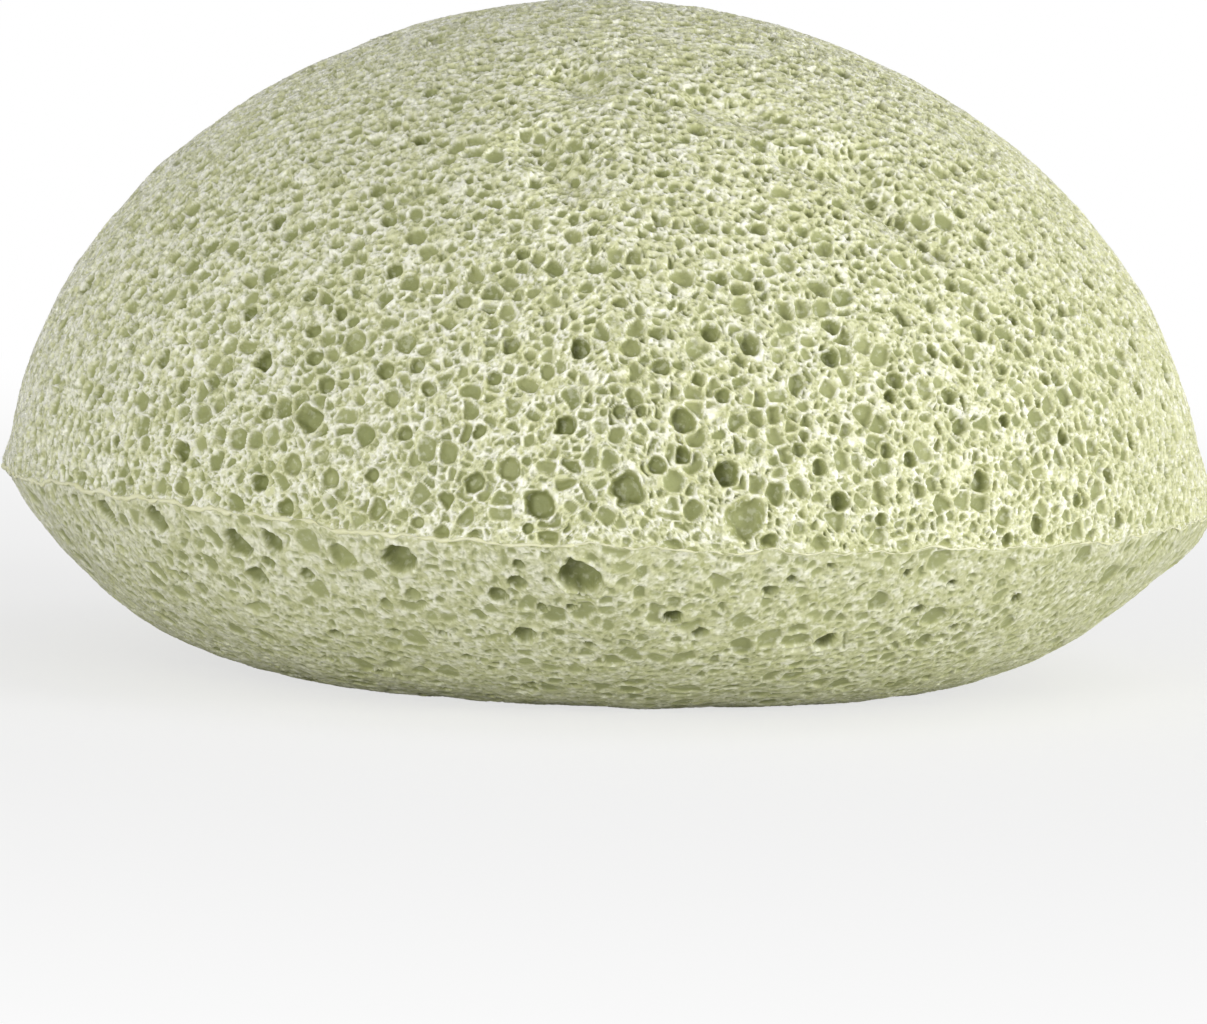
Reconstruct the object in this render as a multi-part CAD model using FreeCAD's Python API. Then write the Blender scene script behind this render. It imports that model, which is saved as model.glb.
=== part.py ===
# Half-ball konjac sponge: an open-cell dome on a shallow bowl with a smooth skin, joined at a raised seam.
# Millimetres, +Z up. The origin is the centre of the flat foot, and the front of the sponge faces -Y.
import FreeCAD, Part
import math
import os

# Overall form
RIM_DIAMETER = 80.0  # across the seam, the widest place
DOME_HEIGHT = 32.5  # from the rim plane to the crown
BOWL_HEIGHT = 12.0  # from the foot to the rim plane
FOOT_DIAMETER = 44.0  # the flat that the sponge stands on
BOWL_TOE_ANGLE = 9.0  # degrees, how steeply the bowl's side leaves the foot

# Skin of the underside
SKIN_THICKNESS = 0.5
SKIN_CLEARANCE = 0.05  # between the skin and the foam that it covers

# Seam between the two halves
SEAM_PROUD = 0.4  # how far it stands out of the foam
SEAM_HEIGHT = 0.9
SEAM_DEPTH = 0.6  # how far it is let into the dome's lower edge
SEAM_CLEARANCE = 0.05

# Large pores on the front of the dome: bearing from the front in degrees, rise from the rim in degrees, diameter
FRONT_PORES = [
    (-49, 18, 1.6),
    (-36, 19, 2.1),
    (-31, 23, 1.5),
    (-30, 20, 1.6),
    (-26, 22, 1.9),
    (-22, 19, 1.6),
    (-21, 16, 1.6),
    (-29, 13, 2.2),
    (-43, 7, 1.7),
    (-30, 7, 1.7),
    (-26, 6, 1.6),
    (-27, 37, 1.5),
    (-10, 34, 1.4),
    (-10, 23, 1.7),
    (-3, 23, 2.1),
    (-4, 14, 1.9),
    (-9, 9, 2.1),
    (-12, 7, 1.8),
    (-6, 5, 2.6),
    (2, 23, 1.7),
    (5, 20, 1.5),
    (10, 25, 1.9),
    (14, 24, 2.0),
    (7, 15, 2.1),
    (7, 11, 1.6),
    (2, 7, 2.8),
    (11, 9, 2.3),
    (13, 5, 3.3),
    (22, 6, 1.6),
    (23, 26, 1.5),
    (29, 20, 1.6),
    (37, 8, 1.9),
    (44, 5, 1.6),
]

# Pores scattered over the sides and the back, outside the front window
FRONT_WINDOW = 68.0  # degrees of bearing to each side of the front
SCATTER_COUNT = 72
SCATTER_RISE = (7.0, 66.0)  # from the lowest to the highest, in degrees
SCATTER_DIAMETER = (1.4, 2.7)
GOLDEN_STEP = (math.sqrt(5.0) - 1.0) / 2.0
PLASTIC_STEP = 0.7549  # a second step, so that diameters don't follow bearings

FOAM_RADIUS = RIM_DIAMETER / 2.0 - SEAM_PROUD
FOOT_RADIUS = FOOT_DIAMETER / 2.0
Z_AXIS = FreeCAD.Vector(0, 0, 1)
ORIGIN = FreeCAD.Vector(0, 0, 0)


def point(radius, height):
    """A point of a profile in the XZ plane."""
    return FreeCAD.Vector(radius, 0, height)


def line(start, end):
    """A straight edge between two profile points."""
    return Part.LineSegment(start, end).toShape()


def turned(edges):
    """The solid that a closed profile makes when it is turned once round the Z axis."""
    face = Part.Face(Part.Wire(edges))
    return face.revolve(ORIGIN, Z_AXIS, 360.0)


class BowlSide:
    """The arc from the foot's edge up to the rim, and the arcs that lie inside it at a constant depth."""

    def __init__(self):
        run = FOAM_RADIUS - FOOT_RADIUS
        chord = math.hypot(run, BOWL_HEIGHT)
        toe = math.radians(BOWL_TOE_ANGLE)
        turn = math.atan2(BOWL_HEIGHT, run) - toe
        self.radius = chord / (2.0 * math.sin(turn))
        self.centre_r = FOOT_RADIUS - self.radius * math.sin(toe)
        self.centre_z = self.radius * math.cos(toe)

    def radius_at(self, height, depth):
        """The radius about Z, at a height, of the arc that lies a depth inside the side."""
        return self.centre_r + math.sqrt((self.radius - depth) ** 2 - (height - self.centre_z) ** 2)

    def arc(self, low, high, depth):
        """The edge between two heights of the arc that lies a depth inside the side."""
        middle = (low + high) / 2.0
        ends = [point(self.radius_at(height, depth), height) for height in (low, middle, high)]
        return Part.Arc(*ends).toShape()


def bowl_fill(side, depth):
    """The bowl filled to the rim, smaller than its outside by a depth on the foot and on the side."""
    floor_edge = point(side.radius_at(depth, depth), depth)
    rim_edge = point(side.radius_at(BOWL_HEIGHT, depth), BOWL_HEIGHT)
    edges = [
        line(point(0, depth), floor_edge),
        side.arc(depth, BOWL_HEIGHT, depth),
        line(rim_edge, point(0, BOWL_HEIGHT)),
        line(point(0, BOWL_HEIGHT), point(0, depth)),
    ]
    return turned(edges)


def seam_ring():
    """The raised line round the rim, rounded outwards and flat where it sits in the rebate."""
    inner = FOAM_RADIUS - SEAM_DEPTH
    top = BOWL_HEIGHT + SEAM_HEIGHT
    nose = point(RIM_DIAMETER / 2.0, BOWL_HEIGHT + SEAM_HEIGHT / 2.0)
    low_edge = point(FOAM_RADIUS, BOWL_HEIGHT)
    high_edge = point(FOAM_RADIUS, top)
    edges = [
        line(point(inner, BOWL_HEIGHT), low_edge),
        Part.Arc(low_edge, nose, high_edge).toShape(),
        line(high_edge, point(inner, top)),
        line(point(inner, top), point(inner, BOWL_HEIGHT)),
    ]
    return turned(edges)


def fraction(value):
    """The part of a number after its decimal point."""
    return value - math.floor(value)


def between(limits, share):
    """The value a share of the way from the first limit to the second."""
    return limits[0] + share * (limits[1] - limits[0])


def scattered_pores():
    """Bearing, rise and diameter of the pores of the sides and the back, spread evenly, small ones most often."""
    pores = []
    for index in range(SCATTER_COUNT):
        bearing = between((FRONT_WINDOW, 360.0 - FRONT_WINDOW), fraction(index * GOLDEN_STEP))
        rise = between(SCATTER_RISE, (index + 0.5) / SCATTER_COUNT)
        diameter = between(SCATTER_DIAMETER, fraction(index * PLASTIC_STEP) ** 2)
        pores.append((bearing, rise, diameter))
    return pores


def pore_ball(bearing, rise, diameter):
    """A ball centred on the surface of the round dome, which leaves a pit half as deep as it is wide."""
    turn = math.radians(bearing)
    across = math.cos(math.radians(rise))
    up = math.sin(math.radians(rise))
    outward = FreeCAD.Vector(across * math.sin(turn), -across * math.cos(turn), up)
    return Part.makeSphere(diameter / 2.0, outward * FOAM_RADIUS, outward)


def dome_body():
    """The dome: half a ball, given its rebate for the seam and its pores, then flattened to the dome's height."""
    flattening = DOME_HEIGHT / FOAM_RADIUS
    half_ball = Part.makeSphere(FOAM_RADIUS, ORIGIN, Z_AXIS, 0, 90, 360)
    rebate_height = (SEAM_HEIGHT + SEAM_CLEARANCE) / flattening
    rebate = Part.makeCylinder(RIM_DIAMETER, rebate_height)
    rebate = rebate.cut(Part.makeCylinder(FOAM_RADIUS - SEAM_DEPTH - SEAM_CLEARANCE, rebate_height))
    balls = [pore_ball(*pore) for pore in FRONT_PORES + scattered_pores()]
    placing = FreeCAD.Matrix()
    placing.scale(1, 1, flattening)
    placing.move(0, 0, BOWL_HEIGHT)
    return half_ball.cut(rebate).cut(balls).transformGeometry(placing)


def build():
    """Every node of the sponge, by name."""
    side = BowlSide()
    return {
        "dome_foam": dome_body(),
        "base_foam": bowl_fill(side, SKIN_THICKNESS + SKIN_CLEARANCE),
        "underside_skin": bowl_fill(side, 0.0).cut(bowl_fill(side, SKIN_THICKNESS)),
        "rim_seam": seam_ring(),
    }


os.makedirs("parts", exist_ok=True)
for name, shape in build().items():
    path = f"parts/{name}.step"
    shape.Solids[0].exportStep(path)
    written = Part.read(path)
    state = "valid" if written.isValid() else "INVALID"
    print(name, state, len(written.Solids), "solid", round(written.Volume, 1), "mm3")
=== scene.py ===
"""Looks of a half-ball konjac sponge: open-cell foam dome, moulded seam and smooth-skinned underside."""

from __future__ import annotations

import logging
import math
from dataclasses import dataclass, field, fields
from enum import Enum
from typing import Union

import bpy
import numpy as np
from mathutils import Matrix, Vector

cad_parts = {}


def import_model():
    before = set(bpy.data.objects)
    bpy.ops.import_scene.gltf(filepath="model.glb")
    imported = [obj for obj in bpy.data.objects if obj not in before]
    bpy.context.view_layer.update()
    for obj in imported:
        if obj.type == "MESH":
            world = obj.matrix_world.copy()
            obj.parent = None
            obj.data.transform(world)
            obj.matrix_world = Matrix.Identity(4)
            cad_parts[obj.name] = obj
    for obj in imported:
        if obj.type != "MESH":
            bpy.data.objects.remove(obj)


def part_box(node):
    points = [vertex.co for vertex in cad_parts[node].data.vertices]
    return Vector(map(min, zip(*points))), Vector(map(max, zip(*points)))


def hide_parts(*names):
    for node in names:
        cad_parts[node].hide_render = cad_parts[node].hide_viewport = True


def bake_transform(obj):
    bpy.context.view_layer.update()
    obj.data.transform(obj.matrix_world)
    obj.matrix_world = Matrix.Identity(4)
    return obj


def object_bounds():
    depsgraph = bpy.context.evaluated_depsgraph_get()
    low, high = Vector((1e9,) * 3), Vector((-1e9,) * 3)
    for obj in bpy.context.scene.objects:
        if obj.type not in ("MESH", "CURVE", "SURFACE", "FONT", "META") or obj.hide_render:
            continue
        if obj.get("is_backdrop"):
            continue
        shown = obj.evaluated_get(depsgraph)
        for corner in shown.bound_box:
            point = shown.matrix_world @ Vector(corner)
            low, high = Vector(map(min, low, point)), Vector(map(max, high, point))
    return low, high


Socket = bpy.types.NodeSocket
Link = Union[bpy.types.Node, bpy.types.NodeSocket]
Sizes = dict[str, float]

LOG = logging.getLogger("sponge")
MM = 0.001
UNITS = {"_mm": MM, "_per_cm2": 1e4}  # endings of field names, and what turns them into metres
BAKE_MAP = "OFBake"
BAKE_SIDE = (0.5, 0.48)  # middle and radius, on the bake map, of the side that shows
BAKE_INSIDE = (0.03, 0.02)  # and of the flat side that is hidden
RIM_DISTANCE = "from_rim"
NOISE_MIDDLE = (0.5, 0.5, 0.5)
WHITE = "FFFFFF"

# Light goes a little way into damp gel, and comes out a little yellower
GEL_GLOW = {"Subsurface Weight": 0.2, "Subsurface Radius": (1.0, 1.0, 0.6), "Subsurface Scale": 0.5 * MM}


class Hollow(Enum):
    """How the floor of a pore looks: tone from 0, shaded, to 1, closed by a pale film, and depth per radius."""

    SHADED = (0.12, 0.95)
    PLAIN = (0.45, 0.75)
    FILMED = (0.85, 0.5)


@dataclass(frozen=True)
class PoreMark:
    """One large pore, where the front of the sponge shows it.

    The place is a bearing from the front in degrees, positive to the right, and a climb: degrees of rise
    above the rim on the dome, or per cent of the way from the foot to the rim on the underside.
    """

    bearing: float
    climb: float
    width_mm: float
    hollow: Hollow


def pores(hollow: Hollow, *rows: tuple[float, float, float]) -> tuple[PoreMark, ...]:
    """Large pores with the same kind of floor, each a bearing, a climb and a width."""
    return tuple(PoreMark(*row, hollow) for row in rows)


@dataclass(frozen=True)
class Dent:
    """A shallow groove in the dome between two places, each a bearing and a rise in degrees."""

    start: tuple[float, float]
    end: tuple[float, float]
    width_mm: float
    depth_mm: float


@dataclass(frozen=True)
class Sag:
    """A place where the outline is pushed to the right, or to the left if negative.

    The place is in the plane across the sponge, in shares of its radius and of the rim's height.
    """

    across: float
    height: float
    push_mm: float
    reach_mm: float


SPONGE_SAGS: tuple[Sag, ...] = (
    Sag(-1.0, 1.0, -0.55, 1.6),  # a lip of seam that stands out
    Sag(-0.8, 0.42, 0.6, 5.0),
    Sag(0.98, 0.8, 1.3, 4.5),  # a full lower edge at the right
    Sag(0.86, 0.45, -0.7, 3.2),
    Sag(0.7, 0.2, -0.8, 5.0),
)

DOME_MARKS: tuple[PoreMark, ...] = (
    *pores(
        Hollow.SHADED,
        (-53, 7, 1.1), (-43, 7, 1.7), (-36, 19, 2.1), (-4, 14, 1.9), (-3, 23, 2.1), (7, 11, 1.6), (11, 9, 2.3),
        (22, 6, 1.6), (28, 18, 1.4), (41, 15, 1.3), (48, 47, 1.2),
    ),
    *pores(
        Hollow.PLAIN,
        (-58, 13, 1.4), (-56, 21, 1.4), (-49, 18, 1.6), (-45, 15, 1.4), (-34, 13, 1.4), (-31, 23, 1.5),
        (-30, 20, 1.6), (-29, 13, 2.2), (-28, 17, 1.4), (-27, 37, 1.5), (-22, 19, 1.6), (-22, 7, 1.3),
        (-19, 20, 1.4), (-19, 12, 1.3), (-12, 13, 1.2), (-12, 7, 1.8), (-11, 19, 1.2), (-10, 34, 1.4),
        (-10, 23, 1.7), (-7, 2, 1.1), (-6, 5, 2.6), (1, 16, 1.4), (2, 7, 2.8), (3, 16, 1.2), (5, 21, 1.5),
        (7, 15, 2.1), (10, 25, 1.9), (11, 18, 1.3), (14, 24, 2.0), (15, 1, 1.7), (18, 12, 1.3), (20, 10, 1.4),
        (23, 26, 1.5), (26, 4, 1.2), (27, 12, 1.3), (29, 20, 1.6), (34, 23, 1.3), (35, 18, 1.4), (37, 22, 1.3),
        (37, 8, 1.9), (40, 1, 1.3), (44, 3, 1.6),
    ),
    *pores(
        Hollow.FILMED,
        (-30, 7, 1.7), (-26, 22, 1.9), (-26, 6, 1.6), (-21, 16, 1.6), (-9, 9, 2.1), (-6, 20, 1.3), (2, 23, 1.7),
        (13, 4, 3.3), (20, 1, 1.6),
    ),
)


@dataclass(frozen=True)
class FarPores:
    """Large pores spread over the sides and the back, where the solid of the dome has them."""

    count: int = 72
    window: float = 68.0  # degrees of bearing to each side of the front that are left out
    rises: tuple[float, float] = (7.0, 66.0)
    widths_mm: tuple[float, float] = (1.4, 2.7)
    bearing_step: float = (math.sqrt(5.0) - 1.0) / 2.0
    width_step: float = 0.7549

    def marks(self) -> tuple[PoreMark, ...]:
        """Spreads the pores evenly, small ones most often.

        Returns:
            The pores, whose floors take turns to look shaded, plain and filmed.
        """
        order = np.arange(self.count)
        bearings = self.window + (360.0 - 2.0 * self.window) * (order * self.bearing_step % 1.0)
        rises = np.interp((order + 0.5) / self.count, (0.0, 1.0), self.rises)
        widths = np.interp((order * self.width_step % 1.0) ** 2, (0.0, 1.0), self.widths_mm)
        looks = tuple(Hollow)
        return tuple(
            PoreMark(bearings[i], rises[i], widths[i], looks[i % len(looks)]) for i in range(self.count)
        )


UNDERSIDE_MARKS: tuple[PoreMark, ...] = (
    *pores(
        Hollow.SHADED,
        (7, 74, 1.7),
    ),
    *pores(
        Hollow.PLAIN,
        (-55, 93, 2.4), (-47, 94, 2.4), (-47, 75, 1.4), (-37, 90, 2.6), (-36, 79, 2.1), (-35, 63, 0.9),
        (-32.5, 93, 2.3), (-34, 85, 1.2), (-30, 82, 1.4), (-30, 57, 1.5), (-28, 35, 1.6), (-19, 92, 3.1),
        (-17, 63, 0.9), (-15, 51, 1.2), (-10, 81, 1.6), (-8, 86, 1.5), (-8, 64, 2.0), (-6, 76, 0.9),
        (-3, 77, 1.0), (-2, 89, 3.6), (-1, 60, 1.2), (10, 68, 1.3), (16, 85, 1.2), (24, 64, 2.2), (33, 77, 1.1),
        (45, 80, 1.3),
    ),
    *pores(
        Hollow.FILMED,
        (-25, 91, 2.5), (-19, 79, 1.3),
    ),
)

DOME_DENTS: tuple[Dent, ...] = (
    Dent((-9, 61), (-7, 60), 1.6, 1.0),
    Dent((-12, 49), (-6, 44), 1.4, 0.9),
    Dent((16, 57), (22, 55), 1.7, 0.9),
    Dent((25, 48), (30, 46), 1.3, 0.7),
    Dent((36, 48), (35, 43), 1.4, 1.0),
    Dent((35, 43), (38, 40), 1.5, 1.1),
    Dent((38, 40), (40, 36), 1.5, 0.8),
)


def linear(hex_colour: str) -> tuple[float, float, float, float]:
    """Turns an sRGB hex colour into linear values.

    Args:
        hex_colour: Six hex digits, with or without a leading hash.

    Returns:
        Red, green, blue and an alpha of 1.
    """
    digits = hex_colour.lstrip("#")
    levels = [int(digits[i : i + 2], 16) / 255 for i in (0, 2, 4)]
    red, green, blue = (c / 12.92 if c <= 0.04045 else ((c + 0.055) / 1.055) ** 2.4 for c in levels)
    return red, green, blue, 1.0


class Kind(Enum):
    """Common kinds of node: the type name, with the settings that make it that kind."""

    ADD = ("ShaderNodeMath", {"operation": "ADD"})
    SUBTRACT = ("ShaderNodeMath", {"operation": "SUBTRACT"})
    MULTIPLY = ("ShaderNodeMath", {"operation": "MULTIPLY"})
    DIVIDE = ("ShaderNodeMath", {"operation": "DIVIDE"})
    MAXIMUM = ("ShaderNodeMath", {"operation": "MAXIMUM"})
    ABSOLUTE = ("ShaderNodeMath", {"operation": "ABSOLUTE"})
    SQRT = ("ShaderNodeMath", {"operation": "SQRT"})
    LESS_THAN = ("ShaderNodeMath", {"operation": "LESS_THAN"})
    SMOOTH_MIN = ("ShaderNodeMath", {"operation": "SMOOTH_MIN"})
    MOVE = ("ShaderNodeVectorMath", {"operation": "ADD"})
    OFFSET = ("ShaderNodeVectorMath", {"operation": "SUBTRACT"})
    SCALE = ("ShaderNodeVectorMath", {"operation": "SCALE"})
    DISTANCE = ("ShaderNodeVectorMath", {"operation": "DISTANCE"})
    LENGTH = ("ShaderNodeVectorMath", {"operation": "LENGTH"})
    SPLIT = ("ShaderNodeSeparateXYZ", {})
    LINEAR = ("ShaderNodeMapRange", {})
    SMOOTH = ("ShaderNodeMapRange", {"interpolation_type": "SMOOTHSTEP"})
    MIX = ("ShaderNodeMix", {"data_type": "FLOAT"})
    TINT = ("ShaderNodeMix", {"data_type": "RGBA"})
    NOISE = ("ShaderNodeTexNoise", {})
    PLACE = ("GeometryNodeInputPosition", {})
    STORED = ("GeometryNodeInputNamedAttribute", {"data_type": "FLOAT"})
    STORE = ("GeometryNodeStoreNamedAttribute", {"data_type": "FLOAT", "domain": "POINT"})


def result(node: bpy.types.Node, name: str | None = None) -> Socket:
    """The node's output with a name, or its first one in use."""
    return next(s for s in node.outputs if s.enabled and name in (None, s.name))


def make(tree: bpy.types.NodeTree, kind: Kind | str, *values: object, **settings: object) -> bpy.types.Node:
    """Adds a node with its settings and links.

    Args:
        tree: The tree that gets the node.
        kind: One of the common kinds, or the node's type name.
        values: What its inputs in use get, in order, or one dict by input name. A node stands for its first output
            in use, and a socket is linked. Anything else becomes the input's value.
        settings: Properties of the node itself.

    Returns:
        The new node.
    """
    name, common = kind.value if isinstance(kind, Kind) else (kind, {})
    node = tree.nodes.new(name)
    for label, value in {**common, **settings}.items():
        setattr(node, label, value)
    in_use = [socket for socket in node.inputs if socket.enabled]
    given = values[0] if values and isinstance(values[0], dict) else dict(enumerate(values))
    for key, value in given.items():
        socket = in_use[key] if isinstance(key, int) else next(s for s in in_use if s.name == key)
        value = result(value) if isinstance(value, bpy.types.Node) else value
        if isinstance(value, Socket):
            tree.links.new(value, socket)
        else:
            socket.default_value = value
    return node


def empty_tree(owner: bpy.types.ID) -> bpy.types.NodeTree:
    """Gives a material or a world a node tree with nothing in it.

    Args:
        owner: The material or world.

    Returns:
        Its tree.
    """
    owner.use_nodes = True
    owner.node_tree.nodes.clear()
    return owner.node_tree


def geometry_tree(name: str, ends: tuple[str, str], objects: tuple[str, ...], sizes: Sizes) -> bpy.types.NodeTree:
    """Makes a Geometry Nodes tree with its named inputs and no nodes.

    Args:
        name: Name of the tree.
        ends: Names of the geometry that goes in and of the geometry that comes out.
        objects: Names of the inputs that take an object.
        sizes: Names of the inputs that take a number; their values aren't used here.

    Returns:
        The tree, which also has an input for the material, "Finish".
    """
    tree = bpy.data.node_groups.new(name, "GeometryNodeTree")
    add = tree.interface.new_socket
    add(ends[0], in_out="INPUT", socket_type="NodeSocketGeometry")
    add(ends[1], in_out="OUTPUT", socket_type="NodeSocketGeometry")
    for label in objects:
        add(label, in_out="INPUT", socket_type="NodeSocketObject")
    add("Finish", in_out="INPUT", socket_type="NodeSocketMaterial")
    for label in sizes:
        add(label, in_out="INPUT", socket_type="NodeSocketFloat")
    return tree


def run_tree(piece: bpy.types.Object, tree: bpy.types.NodeTree, chosen: dict[str, object]) -> None:
    """Runs a Geometry Nodes tree on a piece and keeps the result as its plain mesh, without the modifier.

    Args:
        piece: The object.
        tree: The tree.
        chosen: Value of each of the tree's inputs, by name.
    """
    modifier = piece.modifiers.new(tree.name, "NODES")
    modifier.node_group = tree
    for socket in tree.interface.items_tree:
        if socket.in_out == "INPUT" and socket.name in chosen:
            modifier[socket.identifier] = chosen[socket.name]
    graph = bpy.context.evaluated_depsgraph_get()
    evaluated = piece.evaluated_get(graph)
    made = bpy.data.meshes.new_from_object(evaluated, preserve_all_data_layers=True, depsgraph=graph)
    made.name = piece.name
    piece.modifiers.clear()
    piece.data = made


def end_tree(tree: bpy.types.NodeTree, end: str, shape: Link, finish: Socket) -> None:
    """Makes a tree's geometry real, dresses it and hands it out.

    Args:
        tree: The tree.
        end: Name of its output.
        shape: The geometry.
        finish: The input that holds the material.
    """
    shape = make(tree, "GeometryNodeRealizeInstances", {"Geometry": shape})
    shape = make(tree, "GeometryNodeSetMaterial", {"Geometry": shape, "Material": finish})
    make(tree, "NodeGroupOutput", {end: shape})


def end_material(tree: bpy.types.NodeTree, look: dict[str, object], relief: dict[str, object]) -> None:
    """Ends a material of damp gel, into which light goes a little way.

    Args:
        tree: The material's tree.
        look: Inputs of the shader.
        relief: Inputs of the bump.
    """
    bump = make(tree, "ShaderNodeBump", relief)
    shader = make(tree, "ShaderNodeBsdfPrincipled", {**look, **GEL_GLOW, "Normal": bump})
    make(tree, "ShaderNodeOutputMaterial", {"Surface": shader})


def link_object(name: str, data: bpy.types.ID) -> bpy.types.Object:
    """Puts a mesh, lamp or camera into the scene as an object at the origin.

    Args:
        name: Name of the object.
        data: What it shows.

    Returns:
        The object.
    """
    thing = bpy.data.objects.new(name, data)
    bpy.context.scene.collection.objects.link(thing)
    return thing


@dataclass(frozen=True)
class SpongeForm:
    """The sponge's outer form in metres, read from the solids, with the small sag of a damp sponge."""

    radius: float
    rim_height: float
    crown_height: float
    foot_radius: float = 22.0 * MM
    toe_angle: float = math.radians(7.5)
    dome_fullness: float = 1.92  # 2 is a true ellipse, less is leaner at the shoulder
    lean: float = 0.006  # how much lower the rim lies per metre to the right
    rim_wave: float = 0.16 * MM  # how far the seam wanders up and down
    rim_wave_reach: float = 2.5 * MM
    rim_wave_counts: tuple[int, ...] = (11, 23, 41, 67)  # waves in one turn round the rim
    lift: float = 0.8 * MM  # how much higher the rim stands at the front left
    lift_bearing: float = math.radians(-50.0)
    lift_spread: float = math.radians(24.0)
    lift_reach: float = 6.0 * MM
    sags: tuple[Sag, ...] = SPONGE_SAGS

    @classmethod
    def from_frame(cls) -> SpongeForm:
        """Reads the radius and the heights from the skin and the dome.

        Returns:
            The form.
        """
        skin_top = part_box("underside_skin")[1]
        return cls(skin_top.x, skin_top.z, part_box("dome_foam")[1].z)

    def swing(self, bearing: np.ndarray, reach: np.ndarray, height: np.ndarray) -> np.ndarray:
        """Points with a reach from the axis and a height, at bearings in radians from the front."""
        return np.stack([reach * np.sin(bearing), -reach * np.cos(bearing), height], axis=-1)

    def dome_points(self, bearing: np.ndarray, rise: np.ndarray) -> np.ndarray:
        """Points of the dome.

        Args:
            bearing: Radians from the front.
            rise: Radians from the rim, a right angle at the crown.

        Returns:
            One row of x, y and z for each place.
        """
        power = 2.0 / self.dome_fullness
        reach = self.radius * np.clip(np.cos(rise), 0.0, 1.0) ** power
        height = self.rim_height + (self.crown_height - self.rim_height) * np.sin(rise) ** power
        return self.settle(self.swing(bearing, reach, height))

    def bowl_arc(self) -> tuple[float, float, float, float, float]:
        """Works out the arc of the bowl's side, from the foot to the rim.

        Returns:
            Its radius, the distance of its centre from the axis, the centre's height, and its first and last
            angle.
        """
        run = self.radius - self.foot_radius
        turn = math.atan2(self.rim_height, run) - self.toe_angle
        arc_radius = math.hypot(run, self.rim_height) / (2.0 * math.sin(turn))
        low = self.toe_angle - math.pi / 2.0
        centre_r = self.foot_radius - arc_radius * math.sin(self.toe_angle)
        return arc_radius, centre_r, arc_radius * math.cos(self.toe_angle), low, low + 2.0 * turn

    def bowl_points(self, bearing: np.ndarray, share: np.ndarray) -> np.ndarray:
        """Points of the underside.

        Args:
            bearing: Radians from the front.
            share: -1 at the foot's centre, 0 at its edge and 1 at the rim.

        Returns:
            One row of x, y and z for each place.
        """
        arc_radius, centre_r, centre_z, low, high = self.bowl_arc()
        angle = low + np.clip(share, 0.0, 1.0) * (high - low)
        side = share > 0.0
        reach = np.where(side, centre_r + arc_radius * np.cos(angle), self.foot_radius * (1.0 + share))
        height = np.where(side, centre_z + arc_radius * np.sin(angle), 0.0)
        return self.settle(self.swing(bearing, reach, height))

    def settle(self, points: np.ndarray) -> np.ndarray:
        """Leans the rim and what is above it, lets the seam wander, and leaves the foot flat on its surface.

        Args:
            points: Points of the even form.

        Returns:
            The moved points.
        """
        raised = np.clip(points[..., 2] / self.rim_height, 0.0, 1.0)
        bearing = np.arctan2(points[..., 0], -points[..., 1])
        wave = sum(np.sin(count * bearing + count * count) / 2.0 for count in self.rim_wave_counts)
        near_rim = np.exp(-(((points[..., 2] - self.rim_height) / self.rim_wave_reach) ** 2))
        lifted = np.exp(-(((bearing - self.lift_bearing) / self.lift_spread) ** 2))
        lifted *= np.exp(-(((points[..., 2] - self.rim_height) / self.lift_reach) ** 2)) * raised
        settled = points.copy()
        for sag in self.sags:
            place = np.array([sag.across * self.radius, 0.0, sag.height * self.rim_height])
            near = np.exp(-((np.linalg.norm(points - place, axis=-1) / (sag.reach_mm * MM)) ** 2))
            settled[..., 0] += sag.push_mm * MM * near * raised**0.5
        settled[..., 2] += self.lift * lifted + self.rim_wave * wave * near_rim - self.lean * points[..., 0] * raised
        return settled

    def rim_points(self, bearing: np.ndarray) -> np.ndarray:
        """Points of the line where the dome meets the underside."""
        return self.dome_points(bearing, np.zeros_like(bearing))


@dataclass(frozen=True)
class RingDisc:
    """A disc of evenly sized triangles: ring k of the disc has a fixed count of points times k."""

    rings: int
    sectors: int = 5

    def places(self) -> tuple[np.ndarray, np.ndarray]:
        """Places every point, the centre first.

        Returns:
            Share of the way out, and bearing in radians.
        """
        share = [np.zeros(1)]
        bearing = [np.zeros(1)]
        for ring in range(1, self.rings + 1):
            count = self.sectors * ring
            share.append(np.full(count, ring / self.rings))
            bearing.append(np.arange(count) * (2.0 * math.pi / count))
        return np.concatenate(share), np.concatenate(bearing)

    def first_of(self, ring: int) -> int:
        """Number of the first point of a ring."""
        return 0 if ring == 0 else 1 + self.sectors * ring * (ring - 1) // 2

    def triangles(self) -> np.ndarray:
        """Joins the points of each ring to those of the ring inside it.

        Returns:
            Corners of every triangle, counter-clockwise as bearings grow.
        """
        found = []
        for ring in range(1, self.rings + 1):
            outer_count = self.sectors * ring
            inner_count = max(1, self.sectors * (ring - 1))
            sector = np.repeat(np.arange(self.sectors), ring)
            step = np.tile(np.arange(ring), self.sectors)
            outer = self.first_of(ring) + (sector * ring + step) % outer_count
            after = self.first_of(ring) + (sector * ring + step + 1) % outer_count
            inner = self.first_of(ring - 1) + (sector * (ring - 1) + step) % inner_count
            found.append(np.stack([inner, outer, after], axis=1))
            inside = step < ring - 1
            inner_after = self.first_of(ring - 1) + (sector * (ring - 1) + step + 1) % inner_count
            found.append(np.stack([inner, after, inner_after], axis=1)[inside])
        return np.concatenate(found)


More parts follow.
